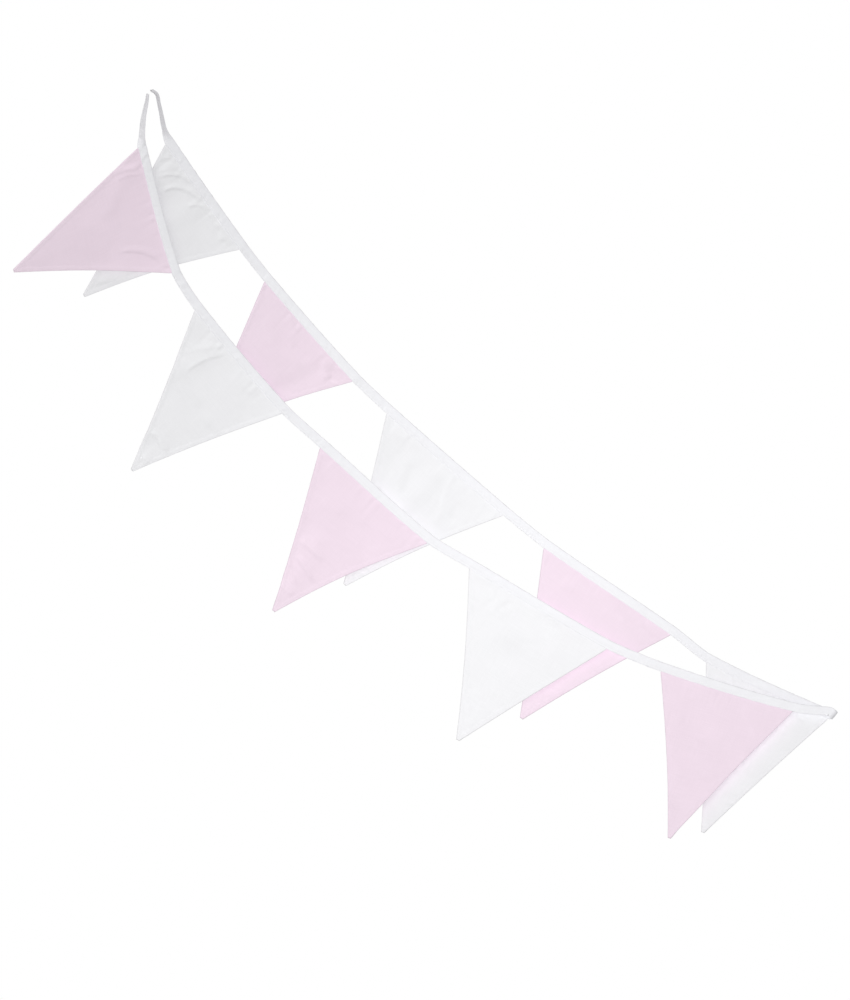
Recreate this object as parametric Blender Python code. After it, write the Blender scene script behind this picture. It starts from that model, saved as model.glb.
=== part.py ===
"""A doubled bunting: ten triangular cotton flags, pink and white in turn, sewn into one folded binding.

The bunting is folded in half and hangs from two points: the two tie ends of the binding meet at the
first (the origin), and the fold at its middle hangs on the second, 1.2 m along +X. The strand in front
(towards -Y) carries flags 1 to 5 and the strand behind it carries flags 6 to 10.

Both strands follow one curve when seen from above, and all cloth hangs plumb below it. So every shape
is laid out first on the unrolled hanging surface, as a run along that curve and a height, and is then
wrapped round the curve. "Out" is the distance from that surface towards the viewer's side.

Sizes in the tables and in the layout are in millimetres, angles in degrees. The meshes are in metres.
"""

import math
from collections import namedtuple

import bmesh
import bpy
import numpy as np
from mathutils import Vector

MM = 0.001

# The binding, a strip folded lengthwise over the flags' top edges
BINDING_DEPTH = 12.0
LEAF_THICKNESS = 0.8
CREST_THICKNESS = 1.6
SLOT_BETWEEN_FLAGS = 0.5
CREST_WIDTH_SHARE = 0.45
WIDENING_LENGTH = 12.0

# The flags, two layers of cotton sewn and turned
FLAG_THICKNESS = 1.2
FLAG_TUCK = 8.0
TUCK_SIDE_PLAY = 0.6
TIP_WIDTH = 4.5
PLAY = 0.35
FLAG_COLUMNS = 10
FLAG_ROWS = 11

# The two strands and the fold that joins them
STRAND_OFFSET = 5.0
FOLD_RADIUS = 5.0
FOLD_RUN = 1316.0
FOLD_HEIGHT = -66.0
FOLD_STATIONS = 4

# How fully the binding curves between two flags: less keeps it straight and bends it at their corners
GAP_FULLNESS = 0.6

# Lengths of one mesh step along the binding
STEP_AT_FLAGS = 17.0
STEP_AT_TIES = 7.0
STEP_AT_FOLD = 1.7

# The curve that both strands follow from above: the heading at each run, away from +X towards +Y
PlanStation = namedtuple("PlanStation", "run heading")
PLAN = (
    PlanStation(0, 30),
    PlanStation(300, 28),
    PlanStation(600, 13),
    PlanStation(860, -9),
    PlanStation(1110, -32),
    PlanStation(1350, -51),
)
PLAN_STEP = 2.0
PLAN_BLEND = 120.0
PLAN_MARGIN = 160.0

# The flags in the order in which they are sewn on. run and height place the left end of the flag's
# top edge, where it leaves the binding; slope is that edge's rise; shift moves the tip along the edge
# from its middle; hollow_left and hollow_right draw the sides in at half their length; curl is how far
# out the tip swings
Flag = namedtuple(
    "Flag", "name cloth strand run height slope width drop shift hollow_left hollow_right curl"
)
FLAGS = (
    Flag("flag_01", "pink", "front", 37, -65, -29.5, 193, 206, -19, 0, 3, 5),
    Flag("flag_02", "white", "front", 270, -178, -9, 207, 194, 7, 3, 1, 4),
    Flag("flag_03", "pink", "front", 548, -214, -2.5, 198, 197, 1, 3, 5, 6),
    Flag("flag_04", "white", "front", 809, -214, 8.5, 209, 199, -3, 3, 1, 4),
    Flag("flag_05", "pink", "front", 1090, -162, 20, 194, 205, 1, 1, 4, 7),
    Flag("flag_06", "white", "back", 1127, -116, 12.5, 192, 200, 9, 1, 1, -4),
    Flag("flag_07", "pink", "back", 868, -133, 4.5, 200, 198, 0, 1, 3, -5),
    Flag("flag_08", "white", "back", 595, -126, -2, 207, 202, 7, 3, 5, -4),
    Flag("flag_09", "pink", "back", 334, -94, -8, 198, 197, 4, 0, 8, -4),
    Flag("flag_10", "white", "back", 75, -39, -12.5, 202, 196, -1, 0, 7, -5),
)

# The two tie ends, from the cut end to the first flag: turn is how far the strip is turned edge-on, and
# gather is the share of its depth that is left where it is drawn together
TieStation = namedtuple("TieStation", "run height out turn gather")
FRONT_TIE = (
    TieStation(-4, -5, 5, 70, 0.35),
    TieStation(6, -19, 5, 62, 0.55),
    TieStation(17, -35, 5, 52, 0.75),
    TieStation(33, -53, 5, 36, 0.85),
)
BACK_TIE = (
    TieStation(4, 2, -5, 60, 0.45),
    TieStation(15, 2, -5, 60, 0.55),
    TieStation(30, -7, -5, 56, 0.6),
    TieStation(60, -26, -5, 40, 0.75),
)

# The main folds. Each is a soft ridge (height over 0) or trough, from one point of a flag to another;
# across runs from the top edge's left end, down is the depth below that edge
Crease = namedtuple("Crease", "flag across_1 down_1 across_2 down_2 half_width height")
CREASES = (
    Crease("flag_01", 30, 26, 62, 62, 13, 2.0),
    Crease("flag_01", 168, 14, 118, 66, 14, -2.0),
    Crease("flag_02", 62, 12, 52, 66, 14, 2.0),
    Crease("flag_02", 104, 150, 84, 182, 13, -1.8),
    Crease("flag_03", 82, 96, 98, 172, 16, 2.6),
    Crease("flag_03", 62, 84, 84, 150, 13, -2.0),
    Crease("flag_04", 44, 16, 76, 52, 14, 2.0),
    Crease("flag_04", 108, 72, 100, 128, 20, -2.2),
    Crease("flag_05", 60, 60, 140, 76, 16, 2.0),
    Crease("flag_05", 76, 120, 122, 128, 15, -2.0),
    Crease("flag_05", 88, 150, 106, 192, 14, 3.0),
    Crease("flag_06", 150, 24, 122, 112, 18, -2.0),
    Crease("flag_07", 62, 24, 84, 110, 18, 2.0),
    Crease("flag_08", 46, 22, 66, 92, 16, -2.8),
    Crease("flag_08", 106, 14, 98, 108, 14, 2.6),
    Crease("flag_09", 154, 14, 134, 78, 14, -2.2),
    Crease("flag_10", 34, 14, 32, 78, 13, 2.4),
    Crease("flag_10", 74, 14, 62, 92, 13, -2.2),
    Crease("flag_10", 108, 12, 92, 84, 13, 2.2),
)
CREASE_FREE_TOP = 16.0
CREASE_END_BLEND = 18.0

# The cloths: name, sRGB colour, roughness
Cloth = namedtuple("Cloth", "name red green blue roughness")
CLOTHS = {
    "pink": Cloth("pale pink cotton", 0.945, 0.885, 0.925, 0.85),
    "white": Cloth("white cotton", 0.955, 0.955, 0.960, 0.85),
    "binding": Cloth("white cotton binding", 0.965, 0.967, 0.970, 0.80),
}


def smooth(value):
    """A ramp from 0 to 1 with level ends, for a value from 0 to 1."""
    value = np.clip(value, 0.0, 1.0)
    return value * value * (3.0 - 2.0 * value)


class HangingSurface:
    """The plumb surface below the curve that the strands follow, with its unrolled coordinates."""

    def __init__(self):
        self.runs = np.arange(-PLAN_MARGIN, PLAN[-1].run + PLAN_MARGIN, PLAN_STEP)
        headings = np.interp(self.runs, [s.run for s in PLAN], [s.heading for s in PLAN])
        reach = int(PLAN_BLEND / PLAN_STEP)
        weights = np.ones(2 * reach + 1) / (2 * reach + 1)
        headings = np.convolve(np.pad(headings, reach, mode="edge"), weights, mode="valid")
        self.headings = np.radians(headings)
        middle = (self.headings[1:] + self.headings[:-1]) / 2.0
        self.x = np.concatenate([[0.0], np.cumsum(np.cos(middle) * PLAN_STEP)])
        self.y = np.concatenate([[0.0], np.cumsum(np.sin(middle) * PLAN_STEP)])
        self.x -= np.interp(0.0, self.runs, self.x)
        self.y -= np.interp(0.0, self.runs, self.y)

    def wrap(self, run, height, out):
        """The place in metres of a point of the unrolled surface, moved out towards the viewer's side."""
        heading = np.interp(run, self.runs, self.headings)
        x = np.interp(run, self.runs, self.x) + out * math.sin(heading)
        y = np.interp(run, self.runs, self.y) - out * math.cos(heading)
        return Vector((x, y, height)) * MM


def edge_direction(flag):
    """The unit vector along a flag's top edge, from left to right, as run and height."""
    angle = math.radians(flag.slope)
    return np.array([math.cos(angle), math.sin(angle)])


def hang_direction(flag):
    """The unit vector from a flag's top edge towards its tip."""
    along = edge_direction(flag)
    return np.array([along[1], -along[0]])


def strand_out(flag):
    """How far out the strand that carries the flag hangs."""
    return STRAND_OFFSET if flag.strand == "front" else -STRAND_OFFSET


def binding_ends(flag):
    """The points of the binding's middle line over the left and right ends of a flag's top edge."""
    left = np.array([flag.run, flag.height]) - hang_direction(flag) * BINDING_DEPTH / 2.0
    right = left + edge_direction(flag) * flag.width
    return left, right


# A station of the binding's middle line: its place, how far the strip is turned and the share of its
# depth that is left there, and for the stretch after it the mesh step and the flag that hangs from it
Station = namedtuple("Station", "run height out turn gather step flag")


def binding_stations():
    """The stations of the whole binding, from the front tie's end round the fold to the back tie's end."""
    stations = []
    for tie in FRONT_TIE:
        stations.append(Station(*tie, STEP_AT_TIES, None))
    for flag in (f for f in FLAGS if f.strand == "front"):
        left, right = binding_ends(flag)
        stations.append(Station(*left, STRAND_OFFSET, 0.0, 1.0, STEP_AT_FLAGS, flag))
        stations.append(Station(*right, STRAND_OFFSET, 0.0, 1.0, STEP_AT_FLAGS, None))
    for i in range(FOLD_STATIONS + 1):
        angle = math.pi * (0.5 - i / FOLD_STATIONS)
        run = FOLD_RUN + FOLD_RADIUS * math.cos(angle)
        out = FOLD_RADIUS * math.sin(angle)
        step = STEP_AT_FOLD if i < FOLD_STATIONS else STEP_AT_TIES
        stations.append(Station(run, FOLD_HEIGHT, out, 0.0, 1.0, step, None))
    for flag in (f for f in FLAGS if f.strand == "back"):
        left, right = binding_ends(flag)
        stations.append(Station(*right, -STRAND_OFFSET, 0.0, 1.0, STEP_AT_FLAGS, flag))
        stations.append(Station(*left, -STRAND_OFFSET, 0.0, 1.0, STEP_AT_FLAGS, None))
    for tie in reversed(BACK_TIE):
        turned_back = tie._replace(turn=-tie.turn)
        stations.append(Station(*turned_back, STEP_AT_TIES, None))
    return stations


def place(station):
    """A station's place on the unrolled surface: run, height and out."""
    return np.array([station.run, station.height, station.out])


def station_tangents(stations):
    """The direction of the middle line at each station, from its neighbours on both sides."""
    places = [place(s) for s in stations]
    tangents = []
    for i in range(len(places)):
        before = places[max(i - 1, 0)]
        after = places[min(i + 1, len(places) - 1)]
        tangents.append((after - before) / np.linalg.norm(after - before))
    return tangents


def curve_point(start, end, start_tangent, end_tangent, fullness, share):
    """A point at a share of the curve between two stations; less fullness bends it nearer its ends."""
    length = fullness * np.linalg.norm(end - start)
    square, cube = share ** 2, share ** 3
    return (
        (2 * cube - 3 * square + 1) * start
        + (cube - 2 * square + share) * length * start_tangent
        + (3 * square - 2 * cube) * end
        + (cube - square) * length * end_tangent
    )


# A sample of the binding: its middle point in metres, its turn, the share of its depth that is left, and
# how far it opens for a flag, 0 to 1
Sample = namedtuple("Sample", "point turn gather opening")


class Binding:
    """The folded strip's middle line, sampled for its own mesh and read by the flags below it."""

    def __init__(self, surface):
        self.surface = surface
        self.stations = binding_stations()
        self.tangents = station_tangents(self.stations)

    def point(self, index, share):
        """A point of the stretch after the station of that index, on the unrolled surface."""
        here, after = self.stations[index], self.stations[index + 1]
        between_flags = after.flag and not here.flag
        return curve_point(
            place(here),
            place(after),
            self.tangents[index],
            self.tangents[index + 1],
            GAP_FULLNESS if between_flags else 1.0,
            share,
        )

    def bow(self, flag, share):
        """How far the binding sags below the straight line over a flag's top edge, along its drop."""
        index = next(i for i, s in enumerate(self.stations) if s.flag is flag)
        from_start = share if flag.strand == "front" else 1.0 - share
        left, right = binding_ends(flag)
        straight = left + (right - left) * share
        curved = self.point(index, from_start)[:2]
        return float(np.dot(curved - straight, hang_direction(flag)))

    def opening(self, index, share):
        """1 where a flag is held, falling to 0 a short way past each of its ends."""
        here, after = self.stations[index], self.stations[index + 1]
        if here.flag:
            return 1.0
        length = np.linalg.norm(place(after) - place(here))
        past_last = share * length if index and self.stations[index - 1].flag else math.inf
        before_next = (1.0 - share) * length if after.flag else math.inf
        return float(smooth(1.0 - min(past_last, before_next) / WIDENING_LENGTH))

    def samples(self):
        """The samples along the whole binding."""
        result = []
        for index, (here, after) in enumerate(zip(self.stations, self.stations[1:])):
            length = np.linalg.norm(place(after) - place(here))
            steps = max(1, round(length / here.step))
            for i in range(steps):
                share = i / steps
                turn = here.turn + (after.turn - here.turn) * share
                gather = here.gather + (after.gather - here.gather) * share
                point = self.surface.wrap(*self.point(index, share))
                result.append(Sample(point, turn, gather, self.opening(index, share)))
        last = self.stations[-1]
        result.append(Sample(self.surface.wrap(*place(last)), last.turn, last.gather, 0.0))
        return result


def binding_section(opening):
    """The folded strip's outline at one place, as pairs of depth below the middle line and offset."""
    slot = SLOT_BETWEEN_FLAGS + (FLAG_THICKNESS + 2.0 * PLAY - SLOT_BETWEEN_FLAGS) * opening
    half_slot = slot / 2.0
    half_whole = half_slot + LEAF_THICKNESS
    bottom = BINDING_DEPTH / 2.0
    top = -BINDING_DEPTH / 2.0
    shoulder = top + LEAF_THICKNESS
    slot_end = top + CREST_THICKNESS
    crest = half_whole * CREST_WIDTH_SHARE
    return (
        (top, -crest),
        (top, crest),
        (shoulder, half_whole),
        (bottom, half_whole),
        (bottom, half_slot),
        (slot_end, half_slot),
        (slot_end, -half_slot),
        (bottom, -half_slot),
        (bottom, -half_whole),
        (shoulder, -half_whole),
    )


def section_places(samples, index):
    """The places in metres of the binding's outline at one of its samples."""
    sample = samples[index]
    before = samples[max(index - 1, 0)].point
    after = samples[min(index + 1, len(samples) - 1)].point
    along = (after - before).normalized()
    plumb = Vector((0.0, 0.0, -1.0))
    down = (plumb - along * plumb.dot(along)).normalized()
    side = along.cross(down)
    turn = math.radians(sample.turn)
    down_turned = down * math.cos(turn) + side * math.sin(turn)
    side_turned = side * math.cos(turn) - down * math.sin(turn)
    return [
        sample.point + (down_turned * depth * sample.gather + side_turned * offset) * MM
        for depth, offset in binding_section(sample.opening)
    ]


def new_object(name, mesh, cloth):
    """Links a mesh to the scene as a named object in the given cloth."""
    obj = bpy.data.objects.new(name, mesh)
    bpy.context.scene.collection.objects.link(obj)
    obj.data.materials.append(cloth)
    return obj


def build_binding(binding, cloth):
    """The binding: the folded strip's outline extruded from one tie end to the other."""
    samples = binding.samples()
    bm = bmesh.new()
    ring = [bm.verts.new(p) for p in section_places(samples, 0)]
    first = bm.faces.new(ring)
    edges = list(first.edges)
    for index in range(1, len(samples)):
        extruded = bmesh.ops.extrude_edge_only(bm, edges=edges)["geom"]
        new_verts = {g for g in extruded if isinstance(g, bmesh.types.BMVert)}
        edges = [g for g in extruded if isinstance(g, bmesh.types.BMEdge)]
        next_ring = []
        for vert, target in zip(ring, section_places(samples, index)):
            ahead = next(e.other_vert(vert) for e in vert.link_edges if e.other_vert(vert) in new_verts)
            ahead.co = target
            next_ring.append(ahead)
        ring = next_ring
    bm.faces.new(ring)
    bmesh.ops.recalc_face_normals(bm, faces=bm.faces)
    mesh = bpy.data.meshes.new("binding")
    bm.to_mesh(mesh)
    bm.free()
    return new_object("binding", mesh, cloth)


def crease_out(crease, across, down):
    """How far out one crease moves a point of its flag."""
    start = np.array([crease.across_1, crease.down_1], dtype=float)
    end = np.array([crease.across_2, crease.down_2], dtype=float)
    length = np.linalg.norm(end - start)
    along = (end - start) / length
    offset = np.array([across, down]) - start
    forward = float(np.dot(offset, along))
    sideways = float(np.dot(offset, [along[1], -along[0]]))
    past_end = max(-forward, forward - length, 0.0)
    fading = 1.0 - smooth(past_end / CREASE_END_BLEND)
    return crease.height * fading * math.exp(-((sideways / crease.half_width) ** 2))


def flag_out(flag, across, down):
    """How far out a point of a flag lies: its strand, the swing of its tip and its creases."""
    if down <= 0.0:
        return strand_out(flag)
    creases = sum(crease_out(c, across, down) for c in CREASES if c.flag == flag.name)
    swing = flag.curl * (down / flag.drop) ** 2
    return strand_out(flag) + swing + creases * float(smooth(down / CREASE_FREE_TOP))


def flag_row(flag, down):
    """The left and right ends of a flag's cloth at one depth, along its top edge."""
    if down <= 0.0:
        return TUCK_SIDE_PLAY, flag.width - TUCK_SIDE_PLAY
    share = down / flag.drop
    tip = flag.width / 2.0 + flag.shift
    left = share * (tip - TIP_WIDTH / 2.0)
    right = flag.width + share * (tip + TIP_WIDTH / 2.0 - flag.width)
    drawn_in = math.sin(math.pi * share)
    return left + flag.hollow_left * drawn_in, right - flag.hollow_right * drawn_in


def build_flag(flag, surface, binding, cloth):
    """One flag: a sheet tucked up into the binding, narrowing to its blunt tip."""
    bm = bmesh.new()
    rows_total = FLAG_ROWS + 2
    bmesh.ops.create_grid(bm, x_segments=FLAG_COLUMNS, y_segments=rows_total, size=0.5)
    downs = [-FLAG_TUCK, -PLAY] + [flag.drop * (i / FLAG_ROWS) for i in range(FLAG_ROWS + 1)]
    downs[2] = PLAY
    left_top = np.array([flag.run, flag.height])
    for vert in bm.verts:
        column = vert.co.x + 0.5
        down = downs[round((0.5 - vert.co.y) * rows_total)]
        left, right = flag_row(flag, down)
        across = left + (right - left) * column
        follow = 1.0 - float(smooth(down / (flag.drop / 2.0)))
        lift = binding.bow(flag, across / flag.width) * follow
        flat = left_top + edge_direction(flag) * across + hang_direction(flag) * (down + lift)
        vert.co = surface.wrap(flat[0], flat[1], flag_out(flag, across, down))
    bmesh.ops.recalc_face_normals(bm, faces=bm.faces)
    mesh = bpy.data.meshes.new(flag.name)
    bm.to_mesh(mesh)
    bm.free()
    obj = new_object(flag.name, mesh, cloth)
    layers = obj.modifiers.new("two layers", "SOLIDIFY")
    layers.thickness = FLAG_THICKNESS * MM
    layers.offset = 0.0
    return obj


def linear(channel):
    """An sRGB channel, 0 to 1, as the linear value that a shader takes."""
    if channel <= 0.04045:
        return channel / 12.92
    return ((channel + 0.055) / 1.055) ** 2.4


def build_cloth(cloth):
    """The material of one of the cloths."""
    material = bpy.data.materials.new(cloth.name)
    material.use_nodes = True
    shader = material.node_tree.nodes["Principled BSDF"]
    colour = [linear(c) for c in (cloth.red, cloth.green, cloth.blue)]
    shader.inputs["Base Color"].default_value = (*colour, 1.0)
    shader.inputs["Roughness"].default_value = cloth.roughness
    shader.inputs["Metallic"].default_value = 0.0
    material.diffuse_color = (*colour, 1.0)
    return material


def main():
    """Clears the scene and builds the binding and its ten flags."""
    for obj in list(bpy.data.objects):
        bpy.data.objects.remove(obj, do_unlink=True)
    cloths = {key: build_cloth(cloth) for key, cloth in CLOTHS.items()}
    surface = HangingSurface()
    binding = Binding(surface)
    build_binding(binding, cloths["binding"])
    for flag in FLAGS:
        build_flag(flag, surface, binding, cloths[flag.cloth])


main()
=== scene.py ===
"""Dresses a doubled bunting: ten sewn and turned cotton flags in a folded, topstitched binding.

The bunting hangs from two points, with its tie ends at the origin and its middle fold 1.2 m along +X. Both
strands follow one curve when seen from above, and all cloth hangs plumb below it. Every shape is laid out
on that unrolled hanging surface, as a run along the curve and a height, and is then wrapped round the
curve. "Out" is the distance from the surface towards the viewer's side.

The tables and the layout are in millimetres and degrees. Meshes, properties and the stage are in metres.
"""

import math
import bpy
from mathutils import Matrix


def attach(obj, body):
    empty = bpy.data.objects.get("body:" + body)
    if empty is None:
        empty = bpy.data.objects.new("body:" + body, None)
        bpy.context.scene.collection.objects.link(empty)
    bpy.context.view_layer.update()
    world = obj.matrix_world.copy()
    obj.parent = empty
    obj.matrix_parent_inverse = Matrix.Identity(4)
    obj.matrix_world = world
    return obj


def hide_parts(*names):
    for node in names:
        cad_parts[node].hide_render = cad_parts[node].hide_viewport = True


bl_info = {
    "name": "Doubled Flag Bunting",
    "version": (1, 0, 0),
    "blender": (4, 5, 0),
    "location": "View3D > Sidebar > Bunting",
    "description": "Makes a doubled cotton bunting with its flags, binding, stitching and stage",
    "category": "Object",
}

from collections import namedtuple

import bmesh
import bpy
import numpy as np
from bpy.props import FloatProperty, FloatVectorProperty, PointerProperty
from mathutils import Matrix, Vector

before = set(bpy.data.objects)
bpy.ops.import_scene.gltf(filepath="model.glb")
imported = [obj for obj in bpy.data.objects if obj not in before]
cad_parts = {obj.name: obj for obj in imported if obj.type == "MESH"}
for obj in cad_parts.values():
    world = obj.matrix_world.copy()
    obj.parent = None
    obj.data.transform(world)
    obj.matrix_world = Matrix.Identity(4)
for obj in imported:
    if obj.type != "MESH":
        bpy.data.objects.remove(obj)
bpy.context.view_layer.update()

MM = 0.001
WELD_DISTANCE = 1e-6

# The binding, a strip folded lengthwise over the flags' top edges
BINDING_DEPTH = 12.0
CREST_HEIGHT = 1.8
CREST_THICKNESS = 1.6
CLOSED_SLOT = 0.12
SLOT_PLAY = 0.1
LEAF_BULGE = 0.16
BULGE_FADE = 3.0
STITCH_GROOVE = 0.1
GROOVE_HALF_WIDTH = 0.7
# Half a stitch's length as a share of the stitches' spacing
STITCH_REACH = 0.38
WIDENING_LENGTH = 12.0

# Its section: angles round the crest, depths down a leaf's face, angles round its lip, depths in the slot
CREST_ANGLES = (90.0, 68.0, 45.0, 22.0)
FACE_DEPTHS = (-3.4, -2.0, -0.6, 0.8, 1.9, 2.7, 3.25, 3.8, 4.35, 4.9)
LIP_ANGLES = (10.0, 50.0, 90.0, 130.0, 170.0)
SLOT_DEPTHS = (3.6, 0.0, -BINDING_DEPTH / 2.0 + CREST_THICKNESS + 0.6)

# The front leaf and the back leaf: which side each is on, and the phase of its ripples
LEAVES = ((1.0, 0.0), (-1.0, 2.6))

# The flags, two layers of cotton sewn and turned
FLAG_TUCK = 8.0
TUCK_SIDE_PLAY = 0.6
TIP_WIDTH = 4.5
TIP_BULK = 0.45
TIP_BULK_LENGTH = 16.0
RIM_RADIUS = 1.0
SEAM_STEP_LENGTH = 2.2
SEAM_START = 7.0
WIDEST_SEAM_SHARE = 0.35
LOFT_FROM_SIDE = 45.0
LOFT_FROM_TOP = 50.0
# The width and the strength of the shade painted on turned rims and on the binding's crest
PAINTED_SHADE_WIDTH = 1.5
PAINTED_SHADE_SHARE = 0.55

# The mesh rows of a flag, as depths above its tip and below its top edge, and the columns over each seam
TIP_ROWS = (4.0, 2.8, 1.8, 1.1, 0.6, 0.25, 0.08, 0.0)
TUCK_ROWS = (-8.0, -7.92, -7.7, -7.3, -6.6, -4.4, -2.2, -0.7)
SEAM_COLUMNS = (0.0, 0.012, 0.035, 0.07, 0.12, 0.2, 0.34, 0.52, 0.68, 0.84)

# What sets each flag's cloth apart from the next: its place in the weave and the phase of its gathers
PATCH_STEP = 0.37
PHASE_STEP = 1.7

# The two strands and the fold that joins them
STRAND_OFFSET = 5.0
FOLD_RADIUS = 5.0
FOLD_RUN = 1316.0
FOLD_HEIGHT = -66.0
FOLD_STATIONS = 4
GAP_FULLNESS = 0.6

# Lengths of one mesh step along the binding
STEP_AT_FLAGS = 2.5
STEP_AT_TIES = 1.8
STEP_AT_FOLD = 0.8

# The curve that both strands follow from above: the heading at each run, away from +X towards +Y
PlanStation = namedtuple("PlanStation", "run heading")
PLAN = (
    PlanStation(0, 30),
    PlanStation(300, 28),
    PlanStation(600, 13),
    PlanStation(860, -9),
    PlanStation(1110, -32),
    PlanStation(1350, -51),
)
PLAN_STEP = 2.0
PLAN_BLEND = 120.0
PLAN_MARGIN = 160.0

# The flags in the order in which they are sewn on. run and height place the left end of the flag's
# top edge, where it leaves the binding; slope is that edge's rise; shift moves the tip along the edge
# from its middle; hollow_left and hollow_right draw the sides in at half their length; curl is how far
# out the tip swings
Flag = namedtuple(
    "Flag", "name cloth strand run height slope width drop shift hollow_left hollow_right curl"
)
FLAGS = (
    Flag("flag_01", "pink", "front", 37, -65, -29.5, 193, 206, -19, 0, 3, 5),
    Flag("flag_02", "white", "front", 270, -178, -9, 207, 194, 7, 3, 1, 4),
    Flag("flag_03", "pink", "front", 548, -214, -2.5, 198, 197, 1, 3, 5, 6),
    Flag("flag_04", "white", "front", 809, -214, 8.5, 209, 199, -3, 3, 1, 4),
    Flag("flag_05", "pink", "front", 1090, -162, 20, 194, 205, 1, 1, 4, 7),
    Flag("flag_06", "white", "back", 1127, -116, 12.5, 192, 200, 9, 1, 1, -4),
    Flag("flag_07", "pink", "back", 868, -133, 4.5, 200, 198, 0, 1, 3, -5),
    Flag("flag_08", "white", "back", 595, -126, -2, 207, 202, 7, 3, 5, -4),
    Flag("flag_09", "pink", "back", 334, -94, -8, 198, 197, 4, 0, 8, -4),
    Flag("flag_10", "white", "back", 75, -39, -12.5, 202, 196, -1, 0, 7, -5),
)

# The two tie ends, from the cut end to the first flag: turn is how far the strip is turned edge-on, and
# gather is the share of its depth that is left where it is drawn together
TieStation = namedtuple("TieStation", "run height out turn gather")
FRONT_TIE = (
    TieStation(-4, -5, 5, 70, 0.32),
    TieStation(6, -19, 5, 62, 0.48),
    TieStation(17, -35, 5, 52, 0.56),
    TieStation(33, -53, 5, 36, 0.68),
)
BACK_TIE = (
    TieStation(4, 2, -5, 56, 0.38),
    TieStation(15, 2, -5, 54, 0.38),
    TieStation(30, -7, -5, 50, 0.38),
    TieStation(60, -26, -5, 38, 0.52),
)

# How the ties are rolled and pleated lengthwise where they are drawn together, and how much shade is
# painted on them there. The strip is FOLD_LENGTH long from the front tie's end to the middle of the fold
ROLL_HEIGHT = 1.5
PLEAT_HEIGHT = 0.7
PLEAT_LENGTH = 5.2
PLEAT_SWAY = 1.4
PLEAT_SWAY_LENGTH = 34.0
FOLD_LENGTH = 1376.0
GATHER_SHADE_SHARE = 1.5

# The main folds of each flag, as rows of Crease values. Each is a soft ridge (height over 0) or trough,
# from one point of the flag to another; across runs from the top edge's left end, down is the depth
# below that edge
Crease = namedtuple("Crease", "across_1 down_1 across_2 down_2 half_width height")
CREASES = {
    "flag_01": (
        (30, 26, 62, 62, 13, 0.7),
        (168, 14, 118, 66, 14, -0.7),
    ),
    "flag_02": (
        (62, 12, 52, 66, 14, 1.0),
        (104, 150, 84, 182, 13, -0.9),
    ),
    "flag_03": (
        (82, 96, 98, 172, 16, 0.9),
        (62, 84, 84, 150, 13, -0.7),
    ),
    "flag_04": (
        (44, 16, 76, 52, 14, 1.0),
        (108, 72, 100, 128, 20, -1.1),
    ),
    "flag_05": (
        (60, 60, 140, 76, 16, 1.0),
        (76, 120, 122, 128, 15, -1.0),
        (88, 150, 106, 192, 14, 1.5),
    ),
    "flag_06": (
        (150, 24, 122, 112, 18, -1.0),
    ),
    "flag_07": (
        (62, 24, 84, 110, 18, 1.0),
    ),
    "flag_08": (
        (46, 22, 66, 92, 16, -1.1),
        (106, 14, 98, 108, 14, 1.1),
    ),
    "flag_09": (
        (154, 14, 134, 78, 14, -1.1),
    ),
    "flag_10": (
        (34, 14, 32, 78, 13, 0.7),
        (74, 14, 62, 92, 13, -0.7),
        (108, 12, 92, 84, 13, 0.7),
    ),
}
CREASE_FREE_TOP = 16.0
CREASE_END_BLEND = 18.0

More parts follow.
